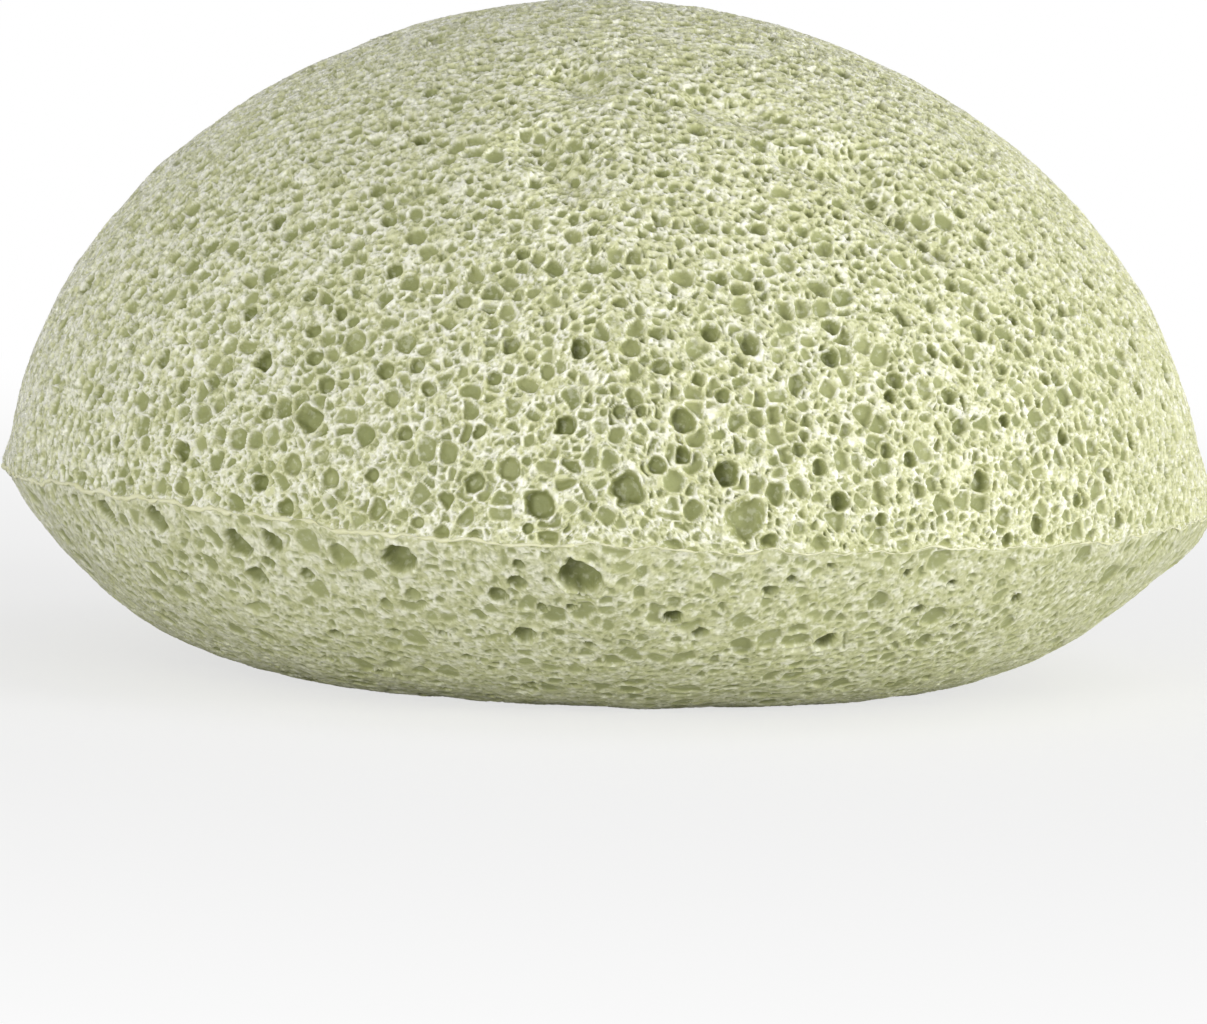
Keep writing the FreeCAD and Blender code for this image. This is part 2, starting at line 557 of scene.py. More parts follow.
def closed_shell(name: str, disc: RingDisc, points: np.ndarray, upward: bool) -> bpy.types.Mesh:
    """Makes a mesh of a curved disc, closed by a flat fan across its edge.

    Args:
        name: Name of the mesh.
        disc: The disc's layout.
        points: Place of each of the disc's points.
        upward: Whether the curved side faces up, as on the dome.

    Returns:
        The closed mesh, smooth shaded, with a bake map and each point's distance from the edge.
    """
    share, bearing = disc.places()
    shell = disc.triangles()
    edge = np.arange(disc.first_of(disc.rings), len(points))
    middle = len(points)
    fan = np.stack([np.full(len(edge), middle), np.roll(edge, -1), edge], axis=1)
    corners = np.concatenate([shell, fan])
    if not upward:
        corners = corners[:, ::-1]
    everywhere = np.concatenate([points, points[edge].mean(axis=0, keepdims=True)])

    mesh = bpy.data.meshes.new(name)
    mesh.vertices.add(len(everywhere))
    mesh.vertices.foreach_set("co", everywhere.astype(np.float32).ravel())
    mesh.loops.add(corners.size)
    mesh.loops.foreach_set("vertex_index", corners.astype(np.int32).ravel())
    mesh.polygons.add(len(corners))
    mesh.polygons.foreach_set("loop_start", np.arange(0, corners.size, 3, dtype=np.int32))
    mesh.polygons.foreach_set("use_smooth", np.ones(len(corners), dtype=bool))
    mesh.update(calc_edges=True)
    mesh.validate()

    around_edge = np.rint(bearing / (2.0 * math.pi) * len(edge)).astype(int) % len(edge)
    from_rim = np.append(np.linalg.norm(points - points[edge[around_edge]], axis=1), 0.0)
    mesh.attributes.new(RIM_DISTANCE, "FLOAT", "POINT").data.foreach_set("value", from_rim.astype(np.float32))

    out = np.append(share, 0.0)
    turn = np.append(bearing, 0.0)
    around = np.stack([np.cos(turn), np.sin(turn)], axis=1)
    large, small = (middle + reach * out[:, None] * around for middle, reach in (BAKE_SIDE, BAKE_INSIDE))
    is_fan = np.zeros(len(corners), dtype=bool)
    is_fan[len(shell) :] = True
    flat = np.where(is_fan[:, None, None], small[corners], large[corners])
    bake = mesh.uv_layers.new(name=BAKE_MAP)
    bake.data.foreach_set("uv", flat.astype(np.float32).ravel())
    return mesh


def labelled(holder: object, prefix: str = "") -> Sizes:
    """Names the numbers of a dataclass as inputs of a tree, in metres.

    Args:
        holder: The dataclass, whose fields end in their unit.
        prefix: What to put before each name.

    Returns:
        The numbers by label. Whole numbers, such as seeds and counts, are left out.
    """
    sizes = {}
    for item in fields(holder):
        value = getattr(holder, item.name)
        if isinstance(value, float):
            unit = next((suffix for suffix in UNITS if item.name.endswith(suffix)), "")
            label = f"{prefix}{item.name.removesuffix(unit)}".replace("_", " ").capitalize()
            sizes[label] = value * UNITS.get(unit, 1.0)
    return sizes


@dataclass(frozen=True)
class BubbleSize:
    """Large round bubbles scattered over a surface: diameters, crowding, and depth per radius."""

    widest_mm: float
    narrowest_mm: float
    density_per_cm2: float
    shallowest: float
    deepest: float
    seed: int


@dataclass(frozen=True)
class FoamPattern:
    """Everything that the cell tree needs to know about one piece of foam."""

    bubbles: BubbleSize = BubbleSize(1.8, 1.1, 5.0, 0.5, 0.95, 11)
    large_cell_mm: float = 1.3
    small_cell_mm: float = 0.86
    tiny_cell_mm: float = 0.62
    dust_cell_mm: float = 0.5
    whole_large: float = 0.4  # of the large cells, how many stay whole; the others are made of small ones
    whole_small: float = 0.65  # of the small cells, how many stay whole; the others are made of tiny ones
    roundness: float = 0.7  # how far a cell reaches from its middle, per width: less is rounder
    wall_mm: float = 0.09
    crest_mm: float = 0.11  # width of the pale line along each wall, which the finish paints with highlights in places
    darkest: float = 0.1  # lowest tone of a packed cell, from 0, shaded, to 1, pale
    shallowest: float = 0.3  # depth of a cell per half width
    deepest: float = 0.9
    warp_mm: float = 0.2
    warp_spacing_mm: float = 1.2
    wobble: float = 0.4  # how much narrower a bubble gets in places, per radius
    lip: float = 0.05  # height of a bubble's edge per radius
    crest_height_mm: float = 0.08  # how far a wall's bright line stands out
    rim_margin_mm: float = 0.5
    thin_from_mm: float = 24.0  # height from which large cells and bubbles get fewer
    thin_to_mm: float = 36.0
    thin_share: float = 0.35
    uneven_mm: float = 0.6
    uneven_spacing_mm: float = 7.0

    def sizes(self) -> Sizes:
        """The tree's named inputs, with lengths in metres."""
        return {**labelled(self.bubbles, "bubble_"), **labelled(self)}


class FoamCells:
    """A Geometry Nodes tree that presses foam cells into a smooth surface.

    Placed pores and scattered bubbles come first. The space between them is filled with packed cells, each either
    whole or made of smaller ones, with a thin wall of gel round every cell.
    """

    wobble_spacing: float = 1.2 * MM
    wobble_span: tuple[float, float] = (0.25, 0.75)  # of the noise, from the narrowest to the full outline
    lip_place: float = 1.1  # radii from a bubble's middle
    lip_width: float = 0.22
    floor_from: float = 0.75  # how far inside a bubble its floor is level, from 0 at the edge to 1
    open_from: float = 0.4  # how far inside a cell it looks quite open
    corner: float = 0.3  # softness of a packed cell's corners, per width
    bowl_reach: float = 0.36  # from a packed cell's wall to its floor, per width
    dust_depth: float = 0.5  # of the depth of other cells
    dust_darkest: float = 0.45

    def __init__(self, name: str, pattern: FoamPattern) -> None:
        """Makes the tree.

        Args:
            name: Name of the tree.
            pattern: Sizes of the cells, which become the tree's named inputs.
        """
        self.pattern = pattern
        objects = ("Coarse surface", "Placed pores")
        self.tree = geometry_tree(name, ("Surface", "Foam"), objects, pattern.sizes())
        self.source = self.make("NodeGroupInput")
        self._build()

    def size(self, label: str) -> Socket:
        """The tree's input with a label."""
        return self.source.outputs[label]

    def make(self, kind: Kind | str, *values: object, **settings: object) -> bpy.types.Node:
        """Adds a node to this tree, as the function of the same name does."""
        return make(self.tree, kind, *values, **settings)

    def _sample(self, points: Link, nearest: Link, what: str) -> Link:
        """A value of the nearest point.

        Args:
            points: Geometry that holds the points.
            nearest: Index of the nearest one.
            what: "position", or the name of a stored number.

        Returns:
            The sampled value.
        """
        is_place = what == "position"
        held = self.make(Kind.PLACE) if is_place else self.make(Kind.STORED, {"Name": what})
        links = {"Geometry": points, "Value": held, "Index": nearest}
        kind = "FLOAT_VECTOR" if is_place else "FLOAT"
        return self.make("GeometryNodeSampleIndex", links, data_type=kind, domain="POINT")

    def _capture(self, geometry: Link, found: dict[str, Link]) -> tuple[Socket, dict[str, Socket]]:
        """Works out several values on the geometry's points together, which is far quicker than one by one.

        Args:
            geometry: The geometry.
            found: Nodes that work out the values, by label.

        Returns:
            The geometry, and the values as they were on it.
        """
        node = self.make("GeometryNodeCaptureAttribute", {"Geometry": geometry}, domain="POINT")
        for label, value in found.items():
            field_socket = result(value)
            node.capture_items.new("VECTOR" if field_socket.type == "VECTOR" else "FLOAT", label)
            self.tree.links.new(field_socket, node.inputs[label])
        return node.outputs["Geometry"], {label: node.outputs[label] for label in found}

    def _thinning(self, place: Link) -> Link:
        """How many of the large cells and bubbles are left at a place, which gets less with height.

        Args:
            place: The place.

        Returns:
            A share of 1.
        """
        height = result(self.make(Kind.SPLIT, place), "Z")
        span = (self.size("Thin from"), self.size("Thin to"))
        return self.make(Kind.SMOOTH, height, *span, 1.0, self.size("Thin share"))

    def _scatter(self, placed: Link) -> Link:
        """Bubbles scattered clear of the placed pores.

        Args:
            placed: Geometry that holds the placed pores.

        Returns:
            Points with a radius, a depth and a tone.
        """
        surface = self.make("GeometryNodeObjectInfo", {"Object": self.size("Coarse surface")})
        place = self.make(Kind.PLACE)
        widest = self.size("Bubble widest")
        seed = self.pattern.bubbles.seed
        points = self.make(
            "GeometryNodeDistributePointsOnFaces",
            {
                "Mesh": result(surface, "Geometry"),
                "Distance Min": self.make(Kind.ADD, widest, self.size("Wall")),
                "Density Max": self.size("Bubble density"),
                "Density Factor": self._thinning(place),
                "Seed": seed,
            },
            distribute_method="POISSON",
        )
        radii = [self.make(Kind.MULTIPLY, width, 0.5) for width in (self.size("Bubble narrowest"), widest)]
        depths = (self.size("Bubble shallowest"), self.size("Bubble deepest"))
        ranges = {"radius": radii, "depth": depths, "tone": (0.0, 1.0)}
        for order, (label, (low, high)) in enumerate(ranges.items()):
            limits = {"Min": low, "Max": high, "Seed": seed + order}
            dice = self.make("FunctionNodeRandomValue", limits, data_type="FLOAT")
            points = self.make(Kind.STORE, {"Geometry": points, "Name": label, "Value": dice})
        nearest = self.make("GeometryNodeSampleNearest", {"Geometry": placed}, domain="POINT")
        centre = self._sample(placed, nearest, "position")
        apart = result(self.make(Kind.DISTANCE, place, centre), "Value")
        own_radius = self.make(Kind.STORED, {"Name": "radius"})
        room = self.make(Kind.ADD, own_radius, self._sample(placed, nearest, "radius"))
        crowded = self.make(Kind.LESS_THAN, apart, self.make(Kind.ADD, room, self.size("Wall")))
        return self.make("GeometryNodeDeleteGeometry", {"Geometry": points, "Selection": crowded}, domain="POINT")

    def _bubble(self, points: Link, where: Link) -> dict[str, Link]:
        """What the nearest round bubble does to each place.

        Args:
            points: Geometry that holds the bubbles.
            where: The place, wandering a little so that no outline is a true circle.

        Returns:
            How far out the place is, in radii, with the bubble's depth, openness and tone there, and its lip.
        """
        nearest = self.make("GeometryNodeSampleNearest", {"Geometry": points}, domain="POINT")
        centre = self._sample(points, nearest, "position")
        radius = self._sample(points, nearest, "radius")
        look = {"Vector": where, "Scale": 1.0 / self.wobble_spacing, "Detail": 2.0, "Roughness": 0.5}
        narrowest = self.make(Kind.SUBTRACT, 1.0, self.size("Wobble"))
        stretch = self.make(Kind.SMOOTH, self.make(Kind.NOISE, look), *self.wobble_span, narrowest, 1.0)
        apart = result(self.make(Kind.DISTANCE, where, centre), "Value")
        out = self.make(Kind.DIVIDE, apart, self.make(Kind.MULTIPLY, radius, stretch))
        inside = self.make(Kind.SUBTRACT, 1.0, self.make(Kind.MULTIPLY, out, out), use_clamp=True)
        deep = self.make(Kind.MULTIPLY, radius, self._sample(points, nearest, "depth"))
        from_lip = self.make(Kind.ABSOLUTE, self.make(Kind.SUBTRACT, out, self.lip_place))
        ridge = self.make(Kind.SMOOTH, from_lip, 0.0, self.lip_width, 1.0, 0.0)
        return {
            "out": out,
            "depth": self.make(Kind.MULTIPLY, self.make(Kind.SMOOTH, inside, 0.0, self.floor_from), deep),
            "open": self.make(Kind.SMOOTH, inside, 0.0, self.open_from),
            "tone": self._sample(points, nearest, "tone"),
            "lip": self.make(Kind.MULTIPLY, ridge, self.make(Kind.MULTIPLY, radius, self.size("Lip"))),
            "crest": ridge,
        }

    def _middle(self, where: Link, label: str) -> dict[str, Link]:
        """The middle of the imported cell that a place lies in.

        Args:
            where: The place.
            label: Which cells: "Large", "Small", "Tiny" or "Dust".

        Returns:
            The middle, how far away it is per width of a cell, and three random numbers for the cell.
        """
        lookup = {"Vector": where, "Scale": self.make(Kind.DIVIDE, 1.0, self.size(f"{label} cell"))}
        node = self.make("ShaderNodeTexVoronoi", lookup, feature="F1")
        dice = self.make(Kind.SPLIT, result(node, "Color"))
        found = {"middle": result(node, "Position"), "away": result(node, "Distance")}
        found.update({axis: result(dice, axis) for axis in "XYZ"})
        return found

    def _packed(self, where: Link, label: str) -> dict[str, Link]:
        """Packed cells of one width.

        Args:
            where: The place, warped so that the cells aren't regular.
            label: Which cells: "Large", "Small", "Tiny" or "Dust".

        Returns:
            What _middle gives, with the distance from the wall's face and the cell's width.
        """
        width = self.size(f"{label} cell")
        cell = self._middle(where, label)
        lookup = {"Vector": where, "Scale": self.make(Kind.DIVIDE, 1.0, width)}
        edge = self.make(Kind.MULTIPLY, self.make("ShaderNodeTexVoronoi", lookup, feature="DISTANCE_TO_EDGE"), width)
        beyond = self.make(Kind.SUBTRACT, self.size("Roundness"), cell["away"])
        face = self.make(Kind.SUBTRACT, edge, self.make(Kind.MULTIPLY, self.size("Wall"), 0.5))
        softness = self.make(Kind.MULTIPLY, width, self.corner)
        cell["free"] = self.make(Kind.SMOOTH_MIN, face, self.make(Kind.MULTIPLY, beyond, width), softness)
        cell["width"] = width
        return cell

    def _whole_large(self, cell: dict[str, Link]) -> Link:
        """Whether a large cell stays whole, which fewer do high up on the dome.

        Args:
            cell: The cell, as _middle gives it.

        Returns:
            1 or 0.
        """
        limit = self.make(Kind.MULTIPLY, self.size("Whole large"), self._thinning(cell["middle"]))
        return self.make(Kind.LESS_THAN, cell["X"], limit)

    def _whole_small(self, cell: dict[str, Link]) -> Link:
        """Whether a small cell stays whole, which none does that a whole large cell would cut.

        Args:
            cell: The cell, as _middle gives it.

        Returns:
            1 or 0.
        """
        stays = self.make(Kind.LESS_THAN, cell["X"], self.size("Whole small"))
        cut = self._whole_large(self._middle(cell["middle"], "Large"))
        return self.make(Kind.SUBTRACT, stays, cut, use_clamp=True)

    def _filling(self, where: Link) -> dict[str, Link]:
        """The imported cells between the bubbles.

        Each place lies in a whole large cell, or else in a whole small one, or else in a tiny one. A tiny cell that a
        wider one would cut is filled with gel, so that no slivers are left, and solid gel holds only dust-like cells.

        Args:
            where: The place, warped so that the cells aren't regular.

        Returns:
            Depth, openness, tone and how near the crest of a wall each place is.
        """
        large, small, tiny = (self._packed(where, label) for label in ("Large", "Small", "Tiny"))
        cut = self.make(
            Kind.MAXIMUM,
            self._whole_large(self._middle(tiny["middle"], "Large")),
            self._whole_small(self._middle(tiny["middle"], "Small")),
        )
        tiny["free"] = self.make(Kind.SUBTRACT, tiny["free"], self.make(Kind.MULTIPLY, cut, tiny["width"]))
        in_large = self._whole_large(large)
        in_small = self._whole_small(small)
        cell = {
            key: self.make(Kind.MIX, in_large, self.make(Kind.MIX, in_small, tiny[key], small[key]), large[key])
            for key in ("free", "width", "Y", "Z")
        }
        dust = self._packed(where, "Dust")
        solid = self.make(Kind.LESS_THAN, cell["free"], self.make(Kind.MULTIPLY, self.size("Crest"), -1.0))
        dust["Y"] = self.make(Kind.MULTIPLY, dust["Y"], self.dust_depth)
        dust["Z"] = self.make(Kind.MIX, dust["Z"], self.dust_darkest, 1.0)
        cell = {key: self.make(Kind.MIX, solid, cell[key], dust[key]) for key in cell}
        reach = self.make(Kind.MULTIPLY, cell["width"], self.bowl_reach)
        inside = self.make(Kind.DIVIDE, cell["free"], reach, use_clamp=True)
        left = self.make(Kind.SUBTRACT, 1.0, inside)
        bowl = self.make(Kind.SQRT, self.make(Kind.SUBTRACT, 1.0, self.make(Kind.MULTIPLY, left, left), use_clamp=True))
        deepness = self.make(Kind.MIX, cell["Y"], self.size("Shallowest"), self.size("Deepest"))
        deep = self.make(Kind.MULTIPLY, self.make(Kind.MULTIPLY, cell["width"], 0.5), deepness)
        return {
            "depth": self.make(Kind.MULTIPLY, bowl, deep),
            "open": self.make(Kind.SMOOTH, inside, 0.0, self.open_from),
            "tone": self.make(Kind.MIX, cell["Z"], self.size("Darkest"), 1.0),
            "crest": self.make(Kind.SMOOTH, self.make(Kind.ABSOLUTE, cell["free"]), 0.0, self.size("Crest"), 1.0, 0.0),
        }

    def _warped(self, place: Link) -> Link:
        """The place, moved a little one way and another.

        Args:
            place: The place.

        Returns:
            The moved place.
        """
        fineness = self.make(Kind.DIVIDE, 1.0, self.size("Warp spacing"))
        noise = self.make(Kind.NOISE, {"Vector": place, "Scale": fineness, "Detail": 2.0})
        centred = self.make(Kind.OFFSET, result(noise, "Color"), NOISE_MIDDLE)
        twice = self.make(Kind.MULTIPLY, self.size("Warp"), 2.0)
        return self.make(Kind.MOVE, place, self.make(Kind.SCALE, {"Vector": centred, "Scale": twice}))

    def _surface(self, place: Link) -> tuple[dict[str, Link], Link]:
        """Puts pores, bubbles and packed cells together.

        Args:
            place: The place on the smooth surface.

        Returns:
            Depth, openness, tone and crest at the place, and the height of the nearest lip.
        """
        where = self._warped(place)
        marks = self.make("GeometryNodeObjectInfo", {"Object": self.size("Placed pores")})
        placed = result(marks, "Geometry")
        total = self._filling(where)
        lips = []
        for family in (self._scatter(placed), placed):
            bubble = self._bubble(family, where)
            beyond = self.make(Kind.SMOOTH, bubble["out"], 1.0, 1.0 + self.lip_width)
            inner = self.make(Kind.LESS_THAN, bubble["out"], 1.0)
            for label in ("depth", "open", "crest"):
                outside = self.make(Kind.MULTIPLY, total[label], beyond)
                total[label] = self.make(Kind.MAXIMUM, outside, bubble[label])
            total["tone"] = self.make(Kind.MIX, inner, total["tone"], bubble["tone"])
            lips.append(bubble["lip"])
        return total, self.make(Kind.MAXIMUM, *lips)

    def _build(self) -> None:
        """Moves the surface, stores what its finish needs to know, and dresses it."""
        place = self.make(Kind.PLACE)
        total, lip = self._surface(place)
        from_rim = self.make(Kind.STORED, {"Name": RIM_DISTANCE})
        held = self.make(Kind.SMOOTH, from_rim, 0.0, self.size("Rim margin"))
        closed = self.make(Kind.SUBTRACT, 1.0, total["open"])
        fineness = self.make(Kind.DIVIDE, 1.0, self.size("Uneven spacing"))
        swell = self.make(Kind.NOISE, {"Vector": place, "Scale": fineness, "Detail": 3.0})
        uneven = self.make(Kind.MULTIPLY, self.make(Kind.SUBTRACT, swell, 0.5), self.size("Uneven"))
        ridges = self.make(Kind.MULTIPLY, total["crest"], self.size("Crest height"))
        raised = self.make(Kind.ADD, uneven, self.make(Kind.MULTIPLY, self.make(Kind.ADD, lip, ridges), closed))
        moved = self.make(Kind.MULTIPLY, self.make(Kind.SUBTRACT, raised, total["depth"]), held)
        shift = self.make(Kind.SCALE, {"Vector": self.make("GeometryNodeInputNormal"), "Scale": moved})

        found = {"pit": self.make(Kind.MULTIPLY, total["open"], held), "tone": total["tone"], "crest": total["crest"]}
        shape, kept = self._capture(self.size("Surface"), {"shift": shift, **found})
        for label in found:
            shape = self.make(Kind.STORE, {"Geometry": shape, "Name": label, "Value": kept[label]})
        shape = self.make("GeometryNodeSetPosition", {"Geometry": shape, "Offset": kept["shift"]})
        end_tree(self.tree, "Foam", shape, self.size("Finish"))

    def apply(
        self,
        piece: bpy.types.Object,
        coarse: bpy.types.Object,
        placed: bpy.types.Object,
        finish: bpy.types.Material,
    ) -> None:
        """Runs the tree on a piece and keeps the result as its plain mesh.

        Args:
            piece: Object with the smooth surface.
            coarse: Coarse copy of the surface, which is removed.
            placed: Object with the placed pores as points, which is removed.
            finish: Material of the foam.
        """
        helpers = {"Coarse surface": coarse, "Placed pores": placed}
        run_tree(piece, self.tree, {**self.pattern.sizes(), **helpers, "Finish": finish})
        for helper in helpers.values():
            spare = helper.data
            bpy.data.objects.remove(helper)
            bpy.data.meshes.remove(spare)


def marks_object(name: str, marks: tuple[PoreMark, ...], places: np.ndarray) -> bpy.types.Object:
    """An object whose points are the placed pores.

    Args:
        name: Name of the object.
        marks: The pores.
        places: Where each one is.

    Returns:
        The object, with radius, depth and tone stored on its points.
    """
    mesh = bpy.data.meshes.new(name)
    mesh.from_pydata(places.tolist(), [], [])
    stored = {
        "radius": [mark.width_mm * MM / 2.0 for mark in marks],
        "depth": [mark.hollow.value[1] for mark in marks],
        "tone": [mark.hollow.value[0] for mark in marks],
    }
    for label, numbers in stored.items():
        mesh.attributes.new(label, "FLOAT", "POINT").data.foreach_set("value", np.array(numbers, np.float32))
    return link_object(name, mesh)


@dataclass(frozen=True)
class FoamFinish:
    """Konjac gel foam, cast and damp: thin pale cell walls with painted highlights on their crests, over olive hollows,
    softly darkened partly by painted shade.
    """

    name: str = "damp_konjac_foam"
    # Painted highlight: the white that the crests take in places, over their own pale colour, crest_soft
    crest: str = "FFFEF0"
    crest_soft: str = "DEDFB6"
    wall: str = "AAAE84"
    # Warmer, lighter wall colour: taken in random patches and streaks and, as painted side light, more to the right
    wall_warm: str = "B8B97E"
    # Olive of the hollows, darker than the walls: partly the gel's own colour, partly painted shade
    hollow: str = "848A54"
    hollow_pale: str = "A3A774"
    crest_share: float = 0.85  # how much a crest, pale and in places painted white as a highlight, covers what is under it
    roughness: float = 0.27
    hollow_roughness: float = 0.6
    ior: float = 1.45
    grain_mm: float = 0.3
    grain_depth_mm: float = 0.12
    grain_strength: float = 0.7
    patch_mm: float = 6.0
    side_mm: float = 40.0  # how far to each side the painted side light goes on changing
    side_warmth: tuple[float, float] = (-0.15, 0.2)  # painted side light, at the far left and at the far right: the right painted warmer and lighter, the left cooler and darker
    side_dulling: float = 0.4  # how much of that dulls the painted crest highlights, which stay whiter at the left
    # Painted glints: patches of about this size in which the crests are painted white
    glint_mm: float = 0.9
    glint_span: tuple[float, float] = (0.42, 0.64)  # of the noise, from a soft crest to one with a full painted highlight
    speck: str = "FFFFF0"  # painted highlights: white points that stand for wet gel mirroring the light
    speck_span: tuple[float, float] = (0.54, 0.68)  # of the noise, from no painted highlight speck to a full one
    speck_dark: str = "878C50"  # darker olive specks among the pale gel
    speck_dark_span: tuple[float, float] = (0.46, 0.3)
    speck_mm: float = 0.5
    speck_share: float = 0.68
    speck_on_floors: float = 0.3
    streak: float = 0.0  # how much the colour runs in level streaks, as on skin that lay against a mould
    streak_mm: tuple[float, float, float] = (3.0, 3.0, 0.45)
    streak_span: tuple[float, float] = (0.35, 0.65)

    def material(self) -> bpy.types.Material:
        """Makes the material.

        Returns:
            The material, which reads pit, tone and crest from the mesh.
        """
        finish = bpy.data.materials.new(self.name)
        tree = empty_tree(finish)
        where = result(make(tree, "ShaderNodeTexCoord"), "Object")
        pit, tone, crest = (
            result(make(tree, "ShaderNodeAttribute", attribute_name=label), "Fac")
            for label in ("pit", "tone", "crest")
        )
        looks = ((self.patch_mm, 4.0), (self.glint_mm, 3.0), (self.speck_mm, 2.0), (self.grain_mm, 3.0))
        patches, glints, specks_and_glints, grain = (
            make(tree, Kind.NOISE, {"Vector": where, "Scale": 1.0 / (size * MM), "Detail": detail})
            for size, detail in looks
        )
        per_metre = tuple(1.0 / (size * MM) for size in self.streak_mm)
        level = make(tree, "ShaderNodeMapping", {"Vector": where, "Scale": per_metre})
        streaks = make(tree, Kind.NOISE, {"Vector": level, "Scale": 1.0, "Detail": 3.0})

        warmth = make(tree, Kind.MIX, self.streak, patches, make(tree, Kind.SMOOTH, streaks, *self.streak_span))
        # Painted side light: the colour gets warmer and lighter to the right, on top of random patches and streaks
        across = result(make(tree, Kind.SPLIT, where), "X")
        side = make(tree, Kind.LINEAR, across, -self.side_mm * MM, self.side_mm * MM, *self.side_warmth)
        warmth_and_side_light = make(tree, Kind.ADD, warmth, side, use_clamp=True)
        wall = make(tree, Kind.TINT, warmth_and_side_light, linear(self.wall), linear(self.wall_warm))
        # Hollows darker than the walls: partly the gel's own colour, partly painted shade
        hollow = make(tree, Kind.TINT, tone, linear(self.hollow), linear(self.hollow_pale))
        body = make(tree, Kind.TINT, pit, wall, hollow)

        # Crest lines: their own pale colour, painted white as highlights where the glint noise is high, more so at the
        # left
        painted_glint_noise = make(tree, Kind.SUBTRACT, glints, make(tree, Kind.MULTIPLY, side, self.side_dulling))
        painted_highlight = make(tree, Kind.SMOOTH, painted_glint_noise, *self.glint_span)
        line = make(tree, Kind.TINT, painted_highlight, linear(self.crest_soft), linear(self.crest))
        colour = make(tree, Kind.TINT, make(tree, Kind.MULTIPLY, crest, self.crest_share), body, line)

        # Fine specks: darker olive ones, then painted highlights as white ones, fewer on the hollows' floors
        on_floors = self.speck_share * self.speck_on_floors
        strength = make(tree, Kind.LINEAR, {"Value": pit, "To Min": self.speck_share, "To Max": on_floors})
        for tint, span in ((self.speck_dark, self.speck_dark_span), (self.speck, self.speck_span)):
            amount = make(tree, Kind.SMOOTH, specks_and_glints, *span, 0.0, strength)
            colour = make(tree, Kind.TINT, amount, colour, linear(tint))

        look = {
            "Base Color": colour,
            "Roughness": make(tree, Kind.MIX, pit, self.roughness, self.hollow_roughness),
            "IOR": self.ior,
        }
        height = make(tree, Kind.MIX, self.streak, grain, streaks)
        depth = self.grain_depth_mm * MM
        end_material(tree, look, {"Strength": self.grain_strength, "Distance": depth, "Height": height})
        return finish


DOME_FINISH = FoamFinish()

# Skin that set against a smooth mould: a closed, faintly streaked film of gel over the foam
SKIN_FINISH = FoamFinish(
    name="damp_konjac_skin",
    # Painted highlight on the crests of the skin's walls
    crest="F8F7E6",
    crest_soft="D2D3AC",
    wall="BABC91",
    wall_warm="A5A96C",
    # Darker hollows: partly the gel's own colour, partly painted shade
    hollow="6C7240",
    hollow_pale="A7AB79",
    crest_share=0.75,
    roughness=0.3,
    hollow_roughness=0.5,
    speck_share=0.45,
    streak=0.6,
)

DOME_CELLS = FoamPattern()

UNDERSIDE_CELLS = FoamPattern(
    bubbles=BubbleSize(1.3, 0.7, 1.6, 0.5, 0.9, 13),
    large_cell_mm=1.7,
    small_cell_mm=1.0,
    whole_large=0.3,
    whole_small=0.5,
    wall_mm=0.12,
    crest_mm=0.13,
    darkest=0.5,
    shallowest=0.05,
    deepest=0.3,
    warp_mm=0.5,
    warp_spacing_mm=2.2,
    wobble=0.35,
    lip=0.1,
    crest_height_mm=0.06,
    thin_from_mm=0.0,
    thin_to_mm=1.0,
    thin_share=1.0,
    uneven_mm=0.7,
    uneven_spacing_mm=6.0,
)


@dataclass
class FoamPiece:
    """A closed piece of foam whose curved side is covered with cells."""

    form: SpongeForm
    name: str
    upward: bool
    rings: int
    coarse_rings: int
    marks: tuple[PoreMark, ...]
    pattern: FoamPattern
    finish: FoamFinish

    def surface(self, disc: RingDisc) -> np.ndarray:
        """Points of the smooth curved side, which each kind of piece works out for itself."""
        raise NotImplementedError

    def mark_places(self) -> np.ndarray:
        """Where the placed pores are, which each kind of piece works out for itself."""
        raise NotImplementedError

    def build(self) -> bpy.types.Object:
        """Makes the piece with all its cells.

        Returns:
            The finished object.
        """
        shells = []
        for name, rings in ((f"{self.name}_look", self.rings), (f"{self.name}_coarse", self.coarse_rings)):
            disc = RingDisc(rings)
            shells.append(link_object(name, closed_shell(name, disc, self.surface(disc), self.upward)))
        piece, coarse = shells
        marks = marks_object(f"{self.name}_marks", self.marks, self.mark_places())
        FoamCells(f"{self.name} cells", self.pattern).apply(piece, coarse, marks, self.finish.material())
        return piece


